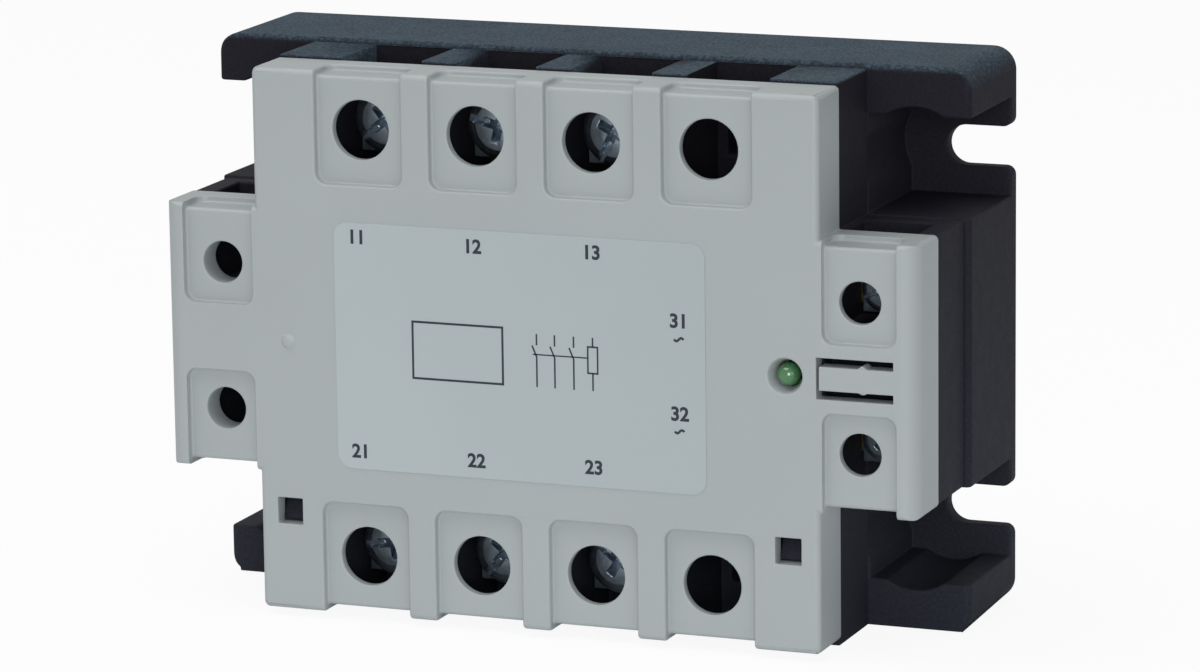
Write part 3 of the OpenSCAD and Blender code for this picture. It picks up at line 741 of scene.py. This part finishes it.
def screw_form(node, shank, lead, turn_deg):
    """Points and faces of a pan head screw, one surface of two parameters, the angle and a step along
    its profile. Along the shank the radius falls from the crest to the root of the thread and back once
    for each lead, and that wave moves round with the angle, which makes the helix. Over the head the
    depth is the lower of the rounded pan and the floor of a straight slot and of a cross whose four
    wings rise outwards."""
    low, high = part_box(node)
    head, top, tip = (high.x - low.x) / 2, -low.y, -high.y
    rise = head * 2 / 3
    under, rim = top - rise, top - rise / 3
    crown = head * 3 / 4
    angle = np.linspace(0, 2 * np.pi, 120, endpoint=False)
    steps = np.arange(tip + shank / 8, under - 0.6 * lead, lead / 6)
    pan_out, pan_up = quarter(head / 4, top - rim - 0.06 * MM, 7)
    flat = np.linspace(0.97 * crown, 0.05 * head, 30)
    radius = np.concatenate([[shank * 3 / 8 * 0.5, shank * 3 / 8], np.full(len(steps), shank / 2),
                             [shank / 2, shank / 2 + 0.1 * MM, head - 0.15 * MM, head - 0.03 * MM, head],
                             (crown + pan_out)[::-1], flat])
    depth = np.concatenate([[tip, tip], steps, [under - 0.12 * MM, under, under, under + 0.06 * MM,
                                                under + 0.2 * MM, rim],
                            (rim + pan_up)[::-1][1:], np.full(len(flat), top)])
    threaded, step = np.zeros(len(radius)), np.arange(len(steps))
    threaded[2:2 + len(steps)] = np.clip(np.minimum(step / 5, (len(steps) - step) / 8), 0, 1)
    wave = np.abs(2 * ((depth[:, None] / lead - angle[None] / (2 * np.pi)) % 1) - 1)
    reach = radius[:, None] - threaded[:, None] * THREAD_DEPTH * lead * wave ** 1.3
    x, z = reach * np.cos(angle), reach * np.sin(angle)
    depth = np.broadcast_to(depth[:, None], x.shape).copy()
    over = np.zeros(len(radius), bool)
    over[-len(flat) - 6:] = True
    wall, near = 0.1 * MM, 0.1 * head / 3
    slot, wing, wing_end = head / 10, head / 7, head * 0.52
    for flat_axis, other in ((x, z), (z, x)):
        for line in (wing, wing - wall):
            close = (over[:, None] & (np.abs(np.abs(flat_axis) - line) < near / 2)
                     & (np.abs(other) < wing_end))
            flat_axis[close] = np.sign(flat_axis[close]) * line
    close = over[:, None] & (np.abs(np.abs(z) - slot) < near / 2) & (np.abs(x) > wing_end)
    z[close] = np.sign(z[close]) * slot

    def cut(across, out, half, ends):
        """How much of the full depth a groove has here: sloped walls, then wings that rise outwards."""
        wall_share = np.clip((half - np.abs(across)) / wall, 0, 1)
        return wall_share * np.clip((ends - np.abs(out)) / (WING_RISE * ends), 0, 1)
    cross = np.maximum(cut(x, z, wing, wing_end), cut(z, x, wing, wing_end)) * rise * CROSS_DEPTH
    straight = np.clip((slot - np.abs(z)) / wall, 0, 1) * rise * SLOT_DEPTH
    floor = top - np.maximum(cross, straight)
    depth = np.where(over[:, None], np.minimum(depth, floor), depth)
    turn = math.radians(turn_deg)
    middle = centre(node)
    rings = np.stack([middle.x + x * math.cos(turn) - z * math.sin(turn), -depth,
                      middle.z + x * math.sin(turn) + z * math.cos(turn)], -1)
    return closed_tube(rings)


def screws(nodes, shank, lead, turns):
    """Puts a screw in the place of each node, turned by its own angle in degrees."""
    for node, turn in zip(nodes, turns):
        built(node + "_form", [screw_form(node, shank, lead, turn)], body_of(node),
              plated("zinc"), [node], 32)


def lens_profile():
    """Radii and depths of the indicator's lens: a flange, a straight barrel and a half round dome."""
    radius = 1.5 * MM
    front = -LED_LOW.y
    flange = (LED_HIGH.x - LED_LOW.x) / 2
    back = front - radius - 1.9 * MM
    out, up = quarter(radius, radius, 14)
    radii = np.concatenate([[flange * 0.5, flange - 0.1 * MM, flange, flange, flange - 0.1 * MM,
                             radius, radius], out[::-1][:-1], [radius * 0.05]])
    depths = np.concatenate([[back - 1.0 * MM, back - 1.0 * MM, back - 0.9 * MM, back - 0.1 * MM, back, back,
                              front - radius], (front - radius + up)[::-1][:-1], [front]])
    return radii, depths


# ---- pieces ----

class CoverRule:
    """Widths of the cover's rounded edges, by where the edge lies, in millimetres."""
    power_reach, control_reach, lens_reach, nub_reach, window_reach = 4.3, 3.1, 2.7, 1.6, 2.3
    tongue_from, tongue_to, tongue_high = 38, 48.8, 2.8
    corner_out, corner_up = 48, 17
    face_from, label_rim = 37.5, 0.3

    def __init__(self, shape):
        self.plain, self.recess, self.hole = shape.cover_edge, shape.recess_edge, shape.hole_edge
        self.tongue, self.corner = shape.hole_edge / 2, shape.cover_edge / 3
        power, control = centre("line_screw_1"), centre("control_screw_1")
        columns = [power.x / MM + k * PITCH / MM for k in range(4)]
        self.holes = [(x, s * power.z / MM, self.power_reach) for x in columns for s in (-1, 1)]
        self.holes += [(t * control.x / MM, s * control.z / MM, self.control_reach)
                       for t in (-1, 1) for s in (-1, 1)]
        self.holes += [(LED_PLACE.x / MM, 0, self.lens_reach), (-LED_PLACE.x / MM, 0, self.nub_reach)]

    def __call__(self, point):
        x, depth, z = point.x, -point.y, point.z
        rim = self.label_rim
        if (LABEL_LOW.x / MM - rim < x < LABEL_HIGH.x / MM + rim and abs(z) < LABEL_HIGH.z / MM + rim
                and depth > -FACE_Y / MM - 0.2):
            return 0
        if any(math.hypot(x - hx, z - hz) < r for hx, hz, r in self.holes):
            return self.hole
        if self.tongue_from < x < self.tongue_to and abs(z) < self.tongue_high:
            return self.tongue
        if max(abs(abs(x) - WINDOW_X / MM), abs(z - WINDOW_Z / MM)) < self.window_reach:
            return self.hole
        if abs(x) > self.corner_out and abs(z) > self.corner_up:
            return self.corner
        return self.recess if depth > self.face_from else self.plain


class Piece:
    """What every operator here shares."""
    bl_options = {"REGISTER", "UNDO"}


class RELAY_OT_cover(Piece, bpy.types.Operator):
    """Front cover with rounded edges, and the two nibs on its snap tongue"""
    bl_idname = "relay.cover"
    bl_label = "Front Cover"
    near_tongue, slot_walls, slit = (38, 49), ((1.7, 1.52), (2.5, 2.66)), 38.6

    def execute(self, context):
        shape, finish = context.scene.relay_shape, cover_plastic()
        softened("front_cover", shape.cover_edge, finish, CoverRule(shape), self.worn)
        nibs = [self.nib(shape, x, z, side) for x, z, side in (
            (44.3 * MM, 1.52 * MM, 1), (44.4 * MM, -1.52 * MM, -0.6))]
        built("tongue_nibs", nibs, "cover", finish)
        return {"FINISHED"}

    def worn(self, points):
        """Opens the slots beside the snap tongue by the draft of their walls, and closes the slit at its
        free end to a crease."""
        x, z = points[:, 0], np.abs(points[:, 2])
        near = (x > self.near_tongue[0]) & (x < self.near_tongue[1])
        side = np.sign(points[:, 2])
        for old, new in self.slot_walls:
            points[:, 2] = np.where(near & (np.abs(z - old) < 0.05), side * new, points[:, 2])
        beside = (z < 2.7) & (np.abs(x - self.slit) < 0.2)
        points[:, 0] = np.where(beside, self.slit + (x - self.slit) * 0.1, x)
        return points

    def nib(self, shape, x, z, side):
        """A low half round rib on the tongue's edge: a half cosine hump carried along the depth."""
        t = np.linspace(-1, 1, 13)
        hump = np.concatenate([np.cos(t * np.pi / 2) ** 1.5 * shape.nib, [-0.1 * MM, -0.1 * MM]])
        along = np.concatenate([t, [1, -1]]) * shape.nib_length / 2
        depths = np.array([FACE_Y + 0.12 * MM, FACE_Y + 0.2 * MM, FACE_Y + 2.2 * MM])
        scale = np.array([0.9, 1, 1])
        rings = np.stack([np.broadcast_to(x + along, (3, 15)), np.repeat(depths[:, None], 15, 1),
                          z + side * scale[:, None] * hump], -1)
        return closed_tube(rings)


class RELAY_OT_label(Piece, bpy.types.Operator):
    """Label film with its rounded edge"""
    bl_idname = "relay.label"
    bl_label = "Label Film"

    def execute(self, context):
        softened("label", 0.05 * MM, label_film(), place=self.pressed)
        return {"FINISHED"}

    def pressed(self, points):
        """Spreads the film to the walls of its seat."""
        middle = (LABEL_LOW + LABEL_HIGH) / 2 / MM
        for k in (0, 2):
            points[:, k] += np.sign(points[:, k] - middle[k]) * SEAT_GAP
        return points


class RELAY_OT_printing(Piece, bpy.types.Operator):
    """Plain terminal numbers, blank ruled frame and contact symbol on the label"""
    bl_idname = "relay.printing"
    bl_label = "Label Printing"

    def execute(self, context):
        sizes = context.scene.relay_print
        ink = printing_ink()
        for number, x, z in ((11, -24.1, 14.3), (12, -8.0, 14.0), (13, 8.3, 14.2), (21, -24.1, -13.9),
                             (22, -7.9, -14.0), (23, 8.3, -13.7), (31, 20.0, 6.1), (32, 20.05, -5.9)):
            self.number(str(number), x * MM, z * MM, sizes, ink)
        pen = sizes.line
        ruled = [([(-16.5, 3.8), (-4.05, 3.8), (-4.05, -3.6), (-16.5, -3.6)], sizes.frame_line, True)]
        for x in (0.64, 3.11, 5.71):
            ruled += [([(x, 3.27), (x, 1.8)], pen, False),
                      ([(x, -3.64), (x, 0.3), (x - 0.62, 1.75)], pen, False)]
        ruled += [([(0.1, 0.6), (7.64, 0.6)], pen * 0.8, False),
                  ([(8.31, 3.27), (8.31, 2.06)], pen, False),
                  ([(8.31, -1.36), (8.31, -3.64)], pen, False),
                  ([(7.64, 2.06), (8.97, 2.06), (8.97, -1.36), (7.64, -1.36)], pen, True)]
        lines = [self.wave(x * MM, z * MM, sizes) for x, z in ((20.0, 3.8), (20.0, -8.1))]
        lines += [strip(np.array(path) * MM, width, LABEL_LOW.y, sizes.thickness, closed)
                  for path, width, closed in ruled]
        built("label_lines", lines, "cover", ink, limit_deg=None)
        return {"FINISHED"}

    def wave(self, x, z, sizes):
        """One period of a sine wave as a printed line."""
        t = np.linspace(-1, 1, 21)
        path = np.stack([x + t * sizes.wave / 2, z + np.sin(t * np.pi) * sizes.wave * 0.16], 1)
        return strip(path, sizes.line * 1.4, LABEL_LOW.y, sizes.thickness)

    def number(self, words, x, z, sizes, ink):
        """A number set as type, made a mesh, then moved onto the film."""
        name = "number_" + words
        type_curve = bpy.data.curves.new(name, "FONT")
        type_curve.body = words
        type_curve.size = sizes.digit / 0.70
        type_curve.align_x, type_curve.align_y = "CENTER", "CENTER"
        type_curve.offset = 0.045 * sizes.digit
        type_curve.extrude = sizes.thickness / 2
        holder = linked("type", type_curve)
        bpy.context.view_layer.update()
        mesh = bpy.data.meshes.new_from_object(holder)
        bpy.data.objects.remove(holder)
        middle = LABEL_LOW.y - sizes.thickness / 2
        reshaped(mesh, lambda points: np.stack(
            [points[:, 0] + x, middle - points[:, 2], points[:, 1] + z], 1))
        mesh.name = name
        put(name, "cover", ink, mesh)


class RELAY_OT_housing(Piece, bpy.types.Operator):
    """Base frame and terminal block, window catches, and plugs in the spare wells"""
    bl_idname = "relay.housing"
    bl_label = "Black Mouldings"

    def execute(self, context):
        width = context.scene.relay_shape.housing_edge
        finish, block = housing_plastic(), body_of("terminal_block")
        for node in ("base_frame", "terminal_block"):
            softened(node, width, finish, place=self.lowered)
        catches = [self.catch(side * WINDOW_X) for side in (-1, 1)]
        built("window_catches", catches, block, finish)
        spare, row = centre("line_screw_3").x + PITCH, centre("line_screw_3").z
        plugs = [turned(PLUG_RADII, PLUG_DEPTHS, (spare, 0, side * row), FRONT) for side in (-1, 1)]
        built("spare_well_plugs", plugs, block, finish)
        return {"FINISHED"}

    def lowered(self, points):
        """Closes the gap that would show light under the terminal block's lower edge."""
        z = points[:, 2]
        points[:, 2] = np.where(np.abs(z - BLOCK_FOOT) < 0.05, SHOWN_FOOT, z)
        return points

    def catch(self, x):
        """A ramp behind a square window: its outline, seen from the side, is carried across the window."""
        outline = np.array([(30, -24.2), (37.2, -24.2), (37.45, -24.05), (37.5, -23.8), (37.45, -23.5),
                            (36.3, -21.4), (36.0, -21.15), (34.6, -20.5), (30, -20.5)]) * MM
        across = np.array([-1.6, -1.5, 1.5, 1.6]) * MM
        middle = outline.mean(axis=0)
        shrink = np.array([0.97, 1, 1, 0.97])[:, None, None]
        rings = np.empty((4, len(outline), 3))
        rings[:, :, 0] = x + across[:, None]
        rings[:, :, 1:] = middle + (outline - middle) * shrink
        rings[:, :, 1] *= -1
        return closed_tube(rings)


class RELAY_OT_power_screws(Piece, bpy.types.Operator):
    """Six power terminal screws with their threads and recesses, each turned its own way"""
    bl_idname = "relay.power_screws"
    bl_label = "Power Screws"
    turns = (38, -14, 62, 8, 51, -33)

    def execute(self, context):
        shape = context.scene.relay_shape
        screws(nodes_like("line_screw", "load_screw"), shape.power_shank, shape.power_lead, self.turns)
        return {"FINISHED"}


class RELAY_OT_control_screws(Piece, bpy.types.Operator):
    """Two control terminal screws with their threads and recesses"""
    bl_idname = "relay.control_screws"
    bl_label = "Control Screws"
    turns = (24, -41)

    def execute(self, context):
        shape = context.scene.relay_shape
        screws(nodes_like("control_screw"), shape.control_shank, shape.control_lead, self.turns)
        return {"FINISHED"}


class RELAY_OT_terminals(Piece, bpy.types.Operator):
    """Wire clamps, nuts, busbars and control terminals with stamped edges"""
    bl_idname = "relay.terminals"
    bl_label = "Clamps And Terminals"

    def execute(self, context):
        edge = context.scene.relay_shape.metal_edge
        for metal, slot, starts in (
                ("zinc", "plated_steel", ("line_clamp", "load_clamp", "control_clamp", "power_nuts",
                                          "control_nuts")),
                ("copper", "bare_copper", ("line_busbar", "load_busbar")),
                ("brass", "terminal_brass", ("control_terminal",))):
            for node in nodes_like(*starts):
                softened(node, edge, plated(metal))
        return {"FINISHED"}


class RELAY_OT_indicator(Piece, bpy.types.Operator):
    """Round indicator with its tinted lens and two leads"""
    bl_idname = "relay.indicator"
    bl_label = "Indicator"

    def execute(self, context):
        (radii, depths), body = lens_profile(), body_of("status_led")
        lens = turned(radii, depths, (LED_PLACE.x, 0, LED_PLACE.z), FRONT)
        built("indicator_lens", [lens], body, lens_plastic(), ["status_led"])
        lead, half = 0.25 * MM, 1.27 * MM
        back, front = -LED_HIGH.y, depths[0] + 0.3 * MM
        leads = [turned([lead * 0.8, lead, lead, lead * 0.8], [back, back + lead / 2, front, front],
                        (LED_PLACE.x, 0, s * half), FRONT, 12) for s in (-1, 1)]
        built("indicator_leads", leads, body, plated("zinc"))
        return {"FINISHED"}


class RELAY_OT_plate(Piece, bpy.types.Operator):
    """Nickel plated mounting plate with broken edges"""
    bl_idname = "relay.plate"
    bl_label = "Mounting Plate"

    def execute(self, context):
        softened("base_plate", context.scene.relay_shape.metal_edge, plated("nickel"))
        return {"FINISHED"}


class RELAY_OT_electronics(Piece, bpy.types.Operator):
    """Circuit board, chips, varistors, resistors and capacitor"""
    bl_idname = "relay.electronics"
    bl_label = "Electronics"

    def execute(self, context):
        edge = context.scene.relay_shape.metal_edge
        epoxy = coated("chip_epoxy", (0.022, 0.022, 0.024, 1), 0.5)
        for node in ("optocouplers", "input_rectifier"):
            softened(node, edge * 2, epoxy)
        softened("control_board", edge / 2, board_mask())
        ceramic = coated("copper_faced_alumina", (0.78, 0.76, 0.68, 1), 0.45)
        silicon = coated("passivated_silicon", (0.05, 0.06, 0.08, 1), 0.22, 0.004)
        for k in (1, 2, 3):
            softened(f"substrate_{k}", edge / 2, ceramic)
            softened(f"thyristors_{k}", edge / 3, silicon)
        softened("gate_pins", edge / 2, plated("copper"))
        blue = coated("varistor_lacquer", (0.03, 0.12, 0.38, 1), 0.32)
        softened("varistors", edge * 3, blue)
        sleeve = coated("capacitor_sleeve", (0.02, 0.03, 0.10, 1), 0.28)
        softened("input_capacitor", edge * 4, sleeve)
        lacquer = coated("resistor_lacquer", (0.36, 0.25, 0.14, 1), 0.4)
        for node in ("gate_resistors", "input_resistors"):
            softened(node, edge * 3, lacquer)
        return {"FINISHED"}


class RELAY_OT_stage(Piece, bpy.types.Operator):
    """Pale floor, soft lamps and the camera"""
    bl_idname = "relay.stage"
    bl_label = "Studio"

    def execute(self, context):
        stage = context.scene.relay_stage
        self.floor(stage, CAD_BOX[0][2])
        self.room(context.scene, stage)
        self.lamps(stage)
        self.camera(context.scene, stage)
        context.scene.view_settings.view_transform = "Standard"
        return {"FINISHED"}

    def floor(self, stage, level):
        """A wide pale floor just under the relay."""
        reach = 3.0
        flat = np.array([(-1, -1, 0), (1, -1, 0), (1, 1, 0), (-1, 1, 0)]) * reach
        mesh = mesh_from("floor", flat + (0, 0, level - 0.05 * MM), [(0, 1, 2, 3)])
        linked("floor", mesh)
        pale = bpy.data.materials.new("pale_floor")
        pale.use_nodes = True
        tree = pale.node_tree
        flow = Flow(tree)
        shader = first(tree, "BSDF_PRINCIPLED")
        flow.fill(shader, {"Base Color": stage.floor, "Roughness": 0.9, "Specular IOR Level": 0.1})
        glow = flow.node("ShaderNodeEmission", {}, {"Color": (1, 1, 1, 1), "Strength": 1.0})
        seen = flow.node("ShaderNodeLightPath", output="Is Camera Ray")
        lit = Flow(tree, shader.outputs[0])
        both = flow.node("ShaderNodeMixShader", {}, {0: seen * 0.92, 1: lit, 2: glow})
        flow.fill(first(tree, "OUTPUT_MATERIAL"), {"Surface": both})
        mesh.materials.append(pale)

    def room(self, scene, stage):
        """Even light from all round, white where the camera or a mirror looks at it."""
        world = bpy.data.worlds.new("room")
        scene.world = world
        world.use_nodes = True
        tree = world.node_tree
        flow = Flow(tree)
        path = tree.nodes.new("ShaderNodeLightPath")
        seen = Flow(tree, path.outputs["Is Camera Ray"])
        seen = flow.math("MAXIMUM", seen, Flow(tree, path.outputs["Is Glossy Ray"]) * stage.mirrored)
        seen = flow.math("MAXIMUM", seen, Flow(tree, path.outputs["Is Transmission Ray"]))
        strength = seen * (1 - stage.ambient) + stage.ambient
        flow.fill(first(tree, "BACKGROUND"), {"Color": (0.97, 0.985, 1, 1), "Strength": strength})

    def lamps(self, stage):
        """A large overhead key, a front fill and a weak lamp on the right."""
        for name, watts, size, place, tint in (
                ("key", stage.key, 0.9, (-0.2, -0.24, 0.93), (1, 0.99, 0.97)),
                ("fill", stage.fill, 0.5, (0.42, -1.15, 0.22), (0.95, 0.98, 1)),
                ("side", stage.side, 0.5, (0.9, -0.75, 0.30), (0.92, 0.98, 1))):
            light = bpy.data.lights.new(name, "AREA")
            light.energy, light.size, light.color = watts, size, tint
            lamp = linked(name, light)
            lamp.visible_camera = False
            aimed(lamp, place)

    def camera(self, scene, stage):
        """Slightly above and to the right of the front face, with a long lens."""
        place = Vector((273.7, -708.6, 155.0)) * MM
        aim = Vector((7.8, -35.4, 2.7)) * MM
        lens = bpy.data.cameras.new("camera")
        lens.lens, lens.sensor_width = stage.lens, 36
        lens.clip_start, lens.clip_end = 0.01, 20
        scene.camera = linked("camera", lens)
        aimed(scene.camera, place, aim, -0.73)


CLASSES = [RelayFinish, RelayShape, RelayPrint, RelayStage, RELAY_OT_cover, RELAY_OT_label, RELAY_OT_printing,
           RELAY_OT_housing, RELAY_OT_power_screws, RELAY_OT_control_screws, RELAY_OT_terminals,
           RELAY_OT_indicator, RELAY_OT_plate, RELAY_OT_electronics, RELAY_OT_stage]
GROUPS = {"relay_finish": RelayFinish, "relay_shape": RelayShape, "relay_print": RelayPrint,
          "relay_stage": RelayStage}


class RELAY_PT_sidebar(bpy.types.Panel):
    """Lists the relay's pieces and settings"""
    bl_idname = "RELAY_PT_sidebar"
    bl_label = "Solid State Relay"
    bl_space_type = "VIEW_3D"
    bl_region_type = "UI"
    bl_category = "Relay"

    def draw(self, context):
        for item in CLASSES:
            if hasattr(item, "execute"):
                self.layout.operator(item.bl_idname)
        for group, kind in GROUPS.items():
            box = self.layout.box()
            for setting in kind.__annotations__:
                box.prop(getattr(context.scene, group), setting)


def register():
    for item in (*CLASSES, RELAY_PT_sidebar):
        bpy.utils.register_class(item)
    for group, kind in GROUPS.items():
        setattr(bpy.types.Scene, group, bpy.props.PointerProperty(type=kind))


def unregister():
    for group in GROUPS:
        delattr(bpy.types.Scene, group)
    for item in (RELAY_PT_sidebar, *reversed(CLASSES)):
        bpy.utils.unregister_class(item)


def main():
    register()
    bpy.ops.relay.cover()
    bpy.ops.relay.label()
    bpy.ops.relay.printing()
    bpy.ops.relay.housing()
    bpy.ops.relay.power_screws()
    bpy.ops.relay.control_screws()
    bpy.ops.relay.terminals()
    bpy.ops.relay.indicator()
    bpy.ops.relay.plate()
    bpy.ops.relay.electronics()
    bpy.ops.relay.stage()


if __name__ == "__main__":
    main()
